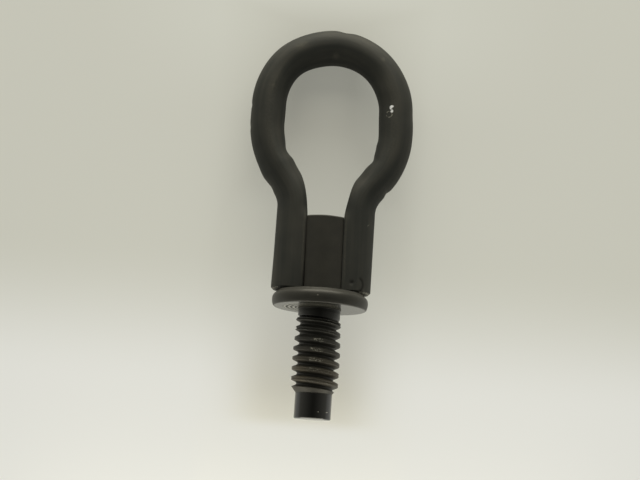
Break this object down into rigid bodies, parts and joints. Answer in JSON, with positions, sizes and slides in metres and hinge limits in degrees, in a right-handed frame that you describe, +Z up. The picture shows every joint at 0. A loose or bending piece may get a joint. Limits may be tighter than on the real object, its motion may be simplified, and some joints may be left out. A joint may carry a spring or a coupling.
{
  "type": "tow eye",
  "caption": "Screw-in tow eye: round steel bar bent to a keyhole-shaped eye, legs welded to a flanged stud with a coarse left-hand thread and plain pilot.",
  "frame": {"origin": "on the floor under the middle of the part's box, the part lying at rest on its flange rim and on the end of the eye", "axes": "+Z up, +Y from the tip towards the eye along the part's length, X across the eye"},
  "size_m": [0.0672, 0.162, 0.0386],
  "materials": {
    "coated_bar": "satin black coat over bent steel bar",
    "coated_stud": "satin black coat over turned and thread-rolled steel"
  },
  "bodies": {
    "root": {"eye_loop": "coated_bar", "threaded_stud": "coated_stud"}
  },
  "joints": []
}
